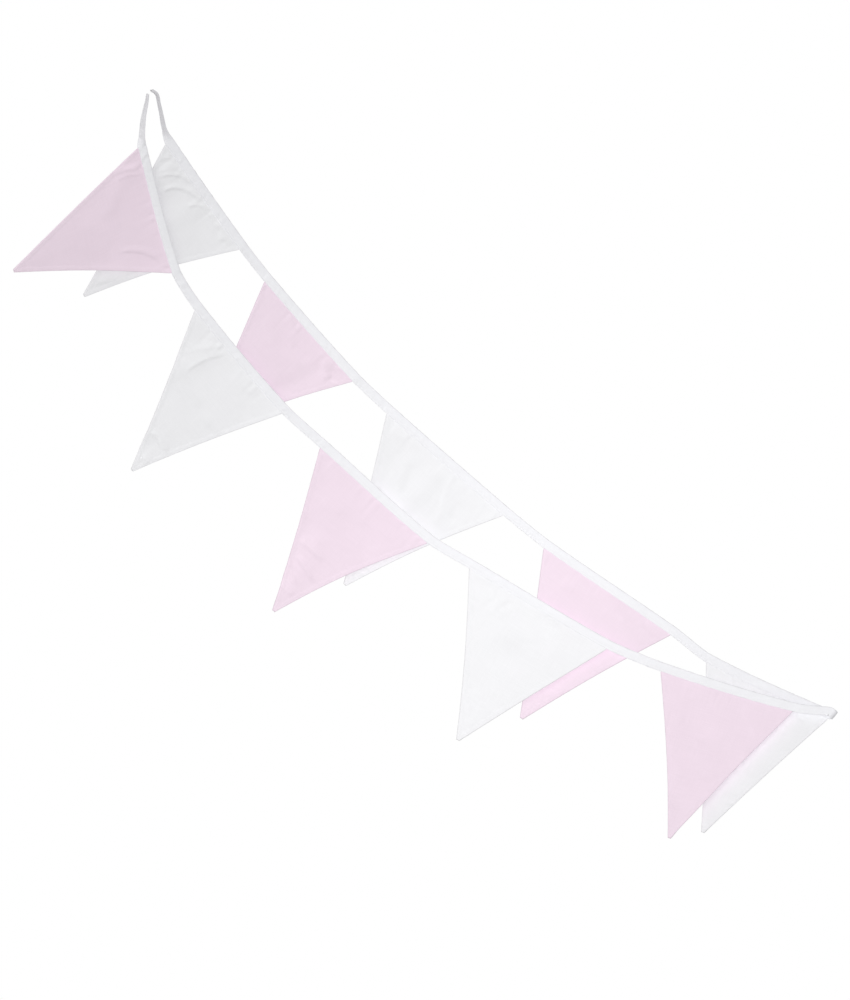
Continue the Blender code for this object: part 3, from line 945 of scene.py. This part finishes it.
def add_node(tree, kind, settings=None, inputs=None):
    """Adds one node with its settings and its inputs, each a value or the socket that feeds it."""
    node = tree.nodes.new("ShaderNode" + kind)
    for name, value in (settings or {}).items():
        setattr(node, name, value)
    for socket, entry in (inputs or {}).items():
        if isinstance(entry, bpy.types.NodeSocket):
            tree.links.new(entry, node.inputs[socket])
        else:
            node.inputs[socket].default_value = entry
    return node


def math_node(tree, operation, *inputs):
    """Adds one sum of its inputs, of the given operation, and gives its output."""
    return add_node(tree, "Math", {"operation": operation}, dict(enumerate(inputs))).outputs[0]


def mixed_colour(tree, factor, first, second, blend="MIX"):
    """Adds one mix of two colours and gives its output."""
    settings = {"data_type": "RGBA", "blend_type": blend}
    return add_node(tree, "Mix", settings, {"Factor": factor, "A": first, "B": second}).outputs["Result"]


def cloth_noise(tree, place, scale, detail, roughness):
    """Adds one flat noise over a cloth and gives its output."""
    inputs = {"Scale": scale, "Detail": detail, "Roughness": roughness, "Vector": place}
    return add_node(tree, "TexNoise", {"noise_dimensions": "2D"}, inputs).outputs["Fac"]


def bumped(tree, height, strength, distance, inputs=None):
    """Adds one bump, its distance in metres, and gives its output."""
    settled = {"Height": height, "Strength": strength, "Distance": distance, **(inputs or {})}
    return add_node(tree, "Bump", inputs=settled).outputs["Normal"]


def new_material(name):
    """An empty node material, with its tree and its output."""
    material = bpy.data.materials.new(name)
    material.use_nodes = True
    material.node_tree.nodes.clear()
    output = add_node(material.node_tree, "OutputMaterial")
    return material, material.node_tree, output


def shade(colour, factor):
    """A colour made lighter or darker by a factor, with an alpha of 1."""
    return (*(min(channel * factor, 1.0) for channel in colour), 1.0)


# How much painted shade darkens the cloth's colour on turned edges, the binding's crest and tight gathers
PAINTED_SHADE_TONE = (0.78, 0.77, 0.775, 1.0)

# The wave texture repeats every pi / 10 units at a scale of 1
WAVE_PERIOD = math.pi / 10.0

# The thickness and length of a slub, and the pitch of a sewing thread's twist, in metres
SLUB_SIZE = (0.0014, 0.035)
TWIST_PITCH = 0.0004

# The finish of a woven cloth: thread spacing in metres, how much darker its thin places are, bump
# strengths of the weave and of the uneven threads, roughness, and sheen
Weave = namedtuple("Weave", "pitch thin_places weave_bump slub_bump roughness sheen")
COTTON_FINISH = (0.035, 0.35, 0.5, 0.86, 0.12)
TAPE_FINISH = (0.03, 0.4, 0.5, 0.8, 0.15)


def woven_material(name, colour, weave):
    """A plain-woven cotton: matt, with a fine check of threads, slubs, broad soft unevenness and painted
    shade.

    The threads follow the cloth's own marks, so they run along the top edge and the drop of each piece.
    """
    material, tree, output = new_material(name)
    place_on_cloth = add_node(tree, "Attribute", {"attribute_name": "cloth_place"}).outputs["Vector"]

    # Threads of both directions, crossing over and under each other every spacing
    thread_scale = WAVE_PERIOD / (2.0 * weave.pitch)
    threads = {"Scale": thread_scale, "Distortion": 0.4, "Detail Scale": 0.3, "Vector": place_on_cloth}
    warp, weft = (
        add_node(tree, "TexWave", {"wave_type": "BANDS", "bands_direction": way}, threads).outputs["Fac"]
        for way in "XY"
    )
    both = math_node(tree, "MULTIPLY", warp, weft)
    neither = math_node(tree, "SUBTRACT", 1.0, math_node(tree, "ADD", warp, weft))
    crossing = math_node(tree, "MULTIPLY_ADD", both, 2.0, neither)

    # Slubs: threads that are thicker for a few centimetres, in both directions
    slubs = []
    for size_x, size_y in (SLUB_SIZE, SLUB_SIZE[::-1]):
        stretch = {"Scale": (1.0 / size_x, 1.0 / size_y, 1.0), "Vector": place_on_cloth}
        stretched = add_node(tree, "Mapping", inputs=stretch).outputs["Vector"]
        slubs.append(cloth_noise(tree, stretched, scale=1.0, detail=2.0, roughness=0.6))
    slub = math_node(tree, "MULTIPLY", *slubs)
    clouds = cloth_noise(tree, place_on_cloth, scale=22.0, detail=3.0, roughness=0.55)

    # Thin places let a little light through and look darker
    unevenness = math_node(tree, "MULTIPLY_ADD", slub, 2.0, clouds)
    density = add_node(tree, "MapRange", inputs={"From Min": 0.55, "From Max": 1.45, "Value": unevenness})
    thin, full = shade(colour, 1.0 - weave.thin_places), shade(colour, 1.0)
    cloth_colour = mixed_colour(tree, density.outputs["Result"], thin, full)

    # Shade painted into the colour: turned edges, the binding's crest and tight gathers are made a little
    # darker
    edge = add_node(tree, "SeparateXYZ", inputs={0: place_on_cloth}).outputs["Z"]
    shaded_colour = mixed_colour(tree, edge, cloth_colour, PAINTED_SHADE_TONE, "MULTIPLY")

    uneven_threads = bumped(tree, slub, weave.slub_bump, 0.0003)
    woven = bumped(tree, crossing, weave.weave_bump, 0.00012, {"Normal": uneven_threads})
    rough = {"To Min": weave.roughness - 0.04, "To Max": weave.roughness + 0.04, "Value": clouds}
    roughness = add_node(tree, "MapRange", inputs=rough).outputs["Result"]
    cotton = add_node(
        tree,
        "BsdfPrincipled",
        inputs={
            "IOR": 1.45,
            "Specular IOR Level": 0.25,
            "Sheen Weight": weave.sheen,
            "Sheen Roughness": 0.5,
            "Base Color": shaded_colour,
            "Roughness": roughness,
            "Normal": woven,
        },
    )
    tree.links.new(cotton.outputs["BSDF"], output.inputs["Surface"])
    return material


def thread_material(name, colour):
    """Sewing thread: spun polyester, slightly glossy, with the slanting grooves of its twist."""
    material, tree, output = new_material(name)
    place = add_node(tree, "TexCoord").outputs["Object"]
    twist = add_node(
        tree,
        "TexWave",
        {"wave_type": "BANDS", "bands_direction": "DIAGONAL"},
        {"Scale": WAVE_PERIOD / TWIST_PITCH, "Distortion": 0.5, "Vector": place},
    )
    grooves = bumped(tree, twist.outputs["Fac"], 0.4, 0.00008)
    spun = add_node(
        tree,
        "BsdfPrincipled",
        inputs={
            "Base Color": shade(colour, 1.0),
            "Roughness": 0.5,
            "IOR": 1.5,
            "Sheen Weight": 0.2,
            "Normal": grooves,
        },
    )
    tree.links.new(spun.outputs["BSDF"], output.inputs["Surface"])
    return material


def floor_material(colour):
    """A matt painted floor, with the faint unevenness of a rolled coat."""
    material, tree, output = new_material("matt painted floor")
    place = add_node(tree, "TexCoord").outputs["Object"]
    coat = add_node(tree, "TexNoise", inputs={"Scale": 9.0, "Detail": 4.0, "Vector": place})
    tone = mixed_colour(tree, coat.outputs["Fac"], shade(colour, 0.985), shade(colour, 1.0))
    paint = add_node(tree, "BsdfPrincipled", inputs={"Roughness": 0.9, "Base Color": tone})
    tree.links.new(paint.outputs["BSDF"], output.inputs["Surface"])
    return material


class BUNTING_OT_flags(bpy.types.Operator):
    """Makes the ten flags, each of two layers sewn and turned, with its folds and wrinkles"""

    bl_idname = "bunting.flags"
    bl_label = "Flags"

    def execute(self, context):
        sizes = context.scene.bunting_sizes
        colours = context.scene.bunting_colours
        weave = Weave(sizes.cotton_pitch, *COTTON_FINISH)
        cottons = {
            "pink": woven_material("pale pink cotton", colours.pink, weave),
            "white": woven_material("white cotton", colours.white, weave),
        }
        surface = HangingSurface()
        binding = Binding(surface)
        for flag in FLAGS:
            sheet = FlagSheet(flag, sizes)
            front, back, marks = sheet.faces(surface, binding)
            mesh = build_mesh(flag.name + "_cloth", [(front, marks), (back, marks)], False)
            piece = new_piece(flag.name + "_cloth", mesh, cottons[flag.cloth])
            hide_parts(flag.name)
        return {"FINISHED"}


class BUNTING_OT_binding(bpy.types.Operator):
    """Makes the binding, a strip of tape folded over the flags' top edges, with its two tie ends"""

    bl_idname = "bunting.binding"
    bl_label = "Binding"

    def execute(self, context):
        sizes = context.scene.bunting_sizes
        colours = context.scene.bunting_colours
        line = BindingFrame(Binding(HangingSurface()))
        lengths = line.lengths
        leaf = sizes.leaf_thickness / MM
        outline = leaf_outline(half_slot(line.openings, sizes), leaf)
        columns, marks = [], []
        for side, phase in LEAVES:
            rows = outline if side > 0 else outline[::-1]
            for depth, offset, on_face in rows:
                relief = on_face * leaf_relief(lengths, depth, phase, sizes)
                near_edge = smooth((abs(depth) - EDGE_WAVER_START) / EDGE_WAVER_BLEND)
                wavering = edge_waver(lengths, phase) * near_edge
                sideways = side * (offset + relief) + pleat_out(lengths, depth, line.gathers)
                deep = (depth + wavering) * line.gathers
                moved = line.down * deep[:, None] + line.side * sideways[:, None]
                columns.append(line.points + moved * MM)
                around = side * (BINDING_DEPTH / 2.0 + depth)
                thread_place = np.stack([lengths * MM, np.full_like(lengths, around * MM)], axis=-1)
                # Painted shade on the crest, and on the ties the more tightly they are drawn together
                crest = PAINTED_SHADE_SHARE * (1.0 - smooth((depth + BINDING_DEPTH / 2.0) / PAINTED_SHADE_WIDTH))
                edge = np.maximum(crest, GATHER_SHADE_SHARE * (1.0 - line.gathers))
                marks.append(np.concatenate([thread_place, edge[:, None]], axis=-1))
        columns.append(columns[0])
        marks.append(marks[0])
        grid = np.stack(columns, axis=1), np.stack(marks, axis=1)
        mesh = build_mesh("binding_tape", [grid], True)
        weave = Weave(sizes.tape_pitch, *TAPE_FINISH)
        tape = woven_material("white cotton tape", colours.tape, weave)
        piece = new_piece("binding_tape", mesh, tape)
        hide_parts("binding")
        return {"FINISHED"}


class BUNTING_OT_stitching(bpy.types.Operator):
    """Makes the topstitching along both faces of the binding"""

    bl_idname = "bunting.stitching"
    bl_label = "Topstitching"

    def execute(self, context):
        sizes = context.scene.bunting_sizes
        colours = context.scene.bunting_colours
        line = BindingFrame(Binding(HangingSurface()))
        depth = stitch_depth(sizes)
        step = sizes.stitch_length / MM
        lengths = np.arange(step, line.lengths[-1] - step, step)
        points, along, down, side, gathers, openings = line.at(lengths)
        face = half_slot(openings, sizes) + sizes.leaf_thickness / MM
        thread = sizes.thread_width / 2.0
        reach = np.array([STITCH_REACH * sizes.stitch_length, thread, thread])
        stitch = self.make_stitch()
        ball = np.array([vert.co for vert in stitch.vertices])
        bm = bmesh.new()
        for sign, phase in LEAVES:
            relief = leaf_relief(lengths, depth, phase, sizes)
            offset = sign * (face + relief) + pleat_out(lengths, depth, gathers)
            centres = points + (down * (depth * gathers)[:, None] + side * offset[:, None]) * MM
            axes = np.stack([along, down, side * sign], axis=1)
            for centre, turn in zip(centres, axes):
                stitch.vertices.foreach_set("co", (centre + ball * reach @ turn).ravel())
                bm.from_mesh(stitch)
        bpy.data.meshes.remove(stitch)
        bmesh.ops.recalc_face_normals(bm, faces=bm.faces)
        mesh = finished_mesh("topstitching", bm)
        mesh.shade_smooth()
        spun = thread_material("white spun thread", colours.thread)
        new_piece("topstitching", mesh, spun)
        return {"FINISHED"}

    def make_stitch(self):
        """One stitch as a round ball of radius 1, to be drawn out along the binding."""
        bm = bmesh.new()
        bmesh.ops.create_uvsphere(bm, u_segments=6, v_segments=5, radius=1.0)
        return finished_mesh("stitch", bm)


class BUNTING_OT_stage(bpy.types.Operator):
    """Makes the floor, the soft boxes, the surrounding light and the camera"""

    bl_idname = "bunting.stage"
    bl_label = "Stage"

    def execute(self, context):
        scene = context.scene
        self.make_floor(scene)
        self.make_lights()
        self.make_spot()
        self.make_surroundings(scene)
        self.make_camera(scene)
        scene.view_settings.view_transform = "Standard"
        return {"FINISHED"}

    def make_floor(self, scene):
        """A round floor well below the flags."""
        bm = bmesh.new()
        centre = Matrix.Translation((CAMERA_TARGET.x, 0.0, FLOOR_HEIGHT))
        bmesh.ops.create_circle(bm, cap_ends=True, segments=96, radius=FLOOR_RADIUS, matrix=centre)
        mesh = finished_mesh("floor", bm)
        floor = linked_object("floor", mesh)
        mesh.materials.append(floor_material(scene.bunting_colours.floor))

    def make_lights(self):
        """The soft boxes, each turned towards the camera's target."""
        for box in SOFT_BOXES:
            light = bpy.data.lights.new(box.name, "AREA")
            light.shape = "SQUARE"
            light.size = box.side
            light.energy = box.power
            light.use_shadow = box.casts_shadows
            self.place_light(light, Vector(box.place), CAMERA_TARGET)

    def make_spot(self):
        """The soft spot, which fades from its middle to its rim."""
        light = bpy.data.lights.new("middle_spot", "SPOT")
        light.energy = SPOT_POWER
        light.spot_size = 2.0 * math.atan(SPOT_RADIUS / (SPOT_TARGET - SPOT_PLACE).length)
        light.spot_blend = 1.0
        light.use_shadow = False
        self.place_light(light, SPOT_PLACE, SPOT_TARGET)

    def place_light(self, light, place, target):
        """An unseen lamp with this light, turned towards the target."""
        lamp = linked_object(light.name, light)
        lamp.location = place
        lamp.visible_camera = False
        lamp.rotation_mode = "QUATERNION"
        lamp.rotation_quaternion = (place - target).to_track_quat("Z", "Y")

    def make_surroundings(self, scene):
        """A white surround, seen at full brightness; as a light it is weaker, most of all from behind."""
        world = bpy.data.worlds.new("white surround")
        world.use_nodes = True
        tree = world.node_tree
        tree.nodes.clear()
        direction = add_node(tree, "TexCoord").outputs["Generated"]
        depth = add_node(tree, "SeparateXYZ", inputs={0: direction}).outputs["Y"]
        levels = {"From Min": -1.0, "To Min": LIGHT_FROM_FRONT, "To Max": LIGHT_FROM_BEHIND, "Value": depth}
        light = add_node(tree, "MapRange", inputs=levels).outputs["Result"]
        seen = add_node(tree, "LightPath").outputs["Is Camera Ray"]
        strength = add_node(tree, "Mix", inputs={"Factor": seen, "A": light, "B": 1.0}).outputs["Result"]
        white = add_node(tree, "Background", inputs={"Color": (1.0, 1.0, 1.0, 1.0), "Strength": strength})
        add_node(tree, "OutputWorld", inputs={"Surface": white.outputs["Background"]})
        scene.world = world

    def make_camera(self, scene):
        """The camera of the photograph: level, far away, and rolled about its line of sight."""
        camera = bpy.data.cameras.new("camera")
        rig = linked_object("camera", camera)
        turn, roll = math.radians(CAMERA_TURN), math.radians(CAMERA_ROLL)
        sight = Vector((math.sin(turn), math.cos(turn), 0.0))
        right = Vector((math.cos(turn), -math.sin(turn), 0.0))
        plumb = Vector((0.0, 0.0, 1.0))
        rolled_right = right * math.cos(roll) + plumb * math.sin(roll)
        rolled_up = plumb * math.cos(roll) - right * math.sin(roll)
        axes = Matrix((rolled_right, rolled_up, -sight)).transposed().to_4x4()
        rig.matrix_world = Matrix.Translation(CAMERA_TARGET - sight * CAMERA_DISTANCE) @ axes
        camera.sensor_width = SENSOR_WIDTH
        camera.lens = SENSOR_WIDTH * CAMERA_DISTANCE / (max(PHOTO_SIZE) * METRES_PER_PIXEL)
        camera.clip_end = 100.0
        scene.camera = rig


class BUNTING_PT_panel(bpy.types.Panel):
    """The bunting's sizes, colours and steps in the 3D view's sidebar"""

    bl_idname = "BUNTING_PT_panel"
    bl_label = "Bunting"
    bl_space_type = "VIEW_3D"
    bl_region_type = "UI"
    bl_category = "Bunting"

    def draw(self, context):
        for settings in (context.scene.bunting_sizes, context.scene.bunting_colours):
            box = self.layout.box()
            for name in settings.__annotations__:
                box.prop(settings, name)
        for operator in STEPS:
            self.layout.operator(operator.bl_idname)


STEPS = (BUNTING_OT_flags, BUNTING_OT_binding, BUNTING_OT_stitching, BUNTING_OT_stage)
CLASSES = (BuntingSizes, BuntingColours, *STEPS, BUNTING_PT_panel)


def register():
    """Registers the classes and gives the scene its settings."""
    for cls in CLASSES:
        bpy.utils.register_class(cls)
    bpy.types.Scene.bunting_sizes = PointerProperty(type=BuntingSizes)
    bpy.types.Scene.bunting_colours = PointerProperty(type=BuntingColours)


def unregister():
    """Takes the settings off the scene and unregisters the classes."""
    del bpy.types.Scene.bunting_colours
    del bpy.types.Scene.bunting_sizes
    for cls in reversed(CLASSES):
        bpy.utils.unregister_class(cls)


def main():
    """Builds every piece and the stage."""
    register()
    bpy.ops.bunting.flags()
    bpy.ops.bunting.binding()
    bpy.ops.bunting.stitching()
    bpy.ops.bunting.stage()


if __name__ == "__main__":
    main()
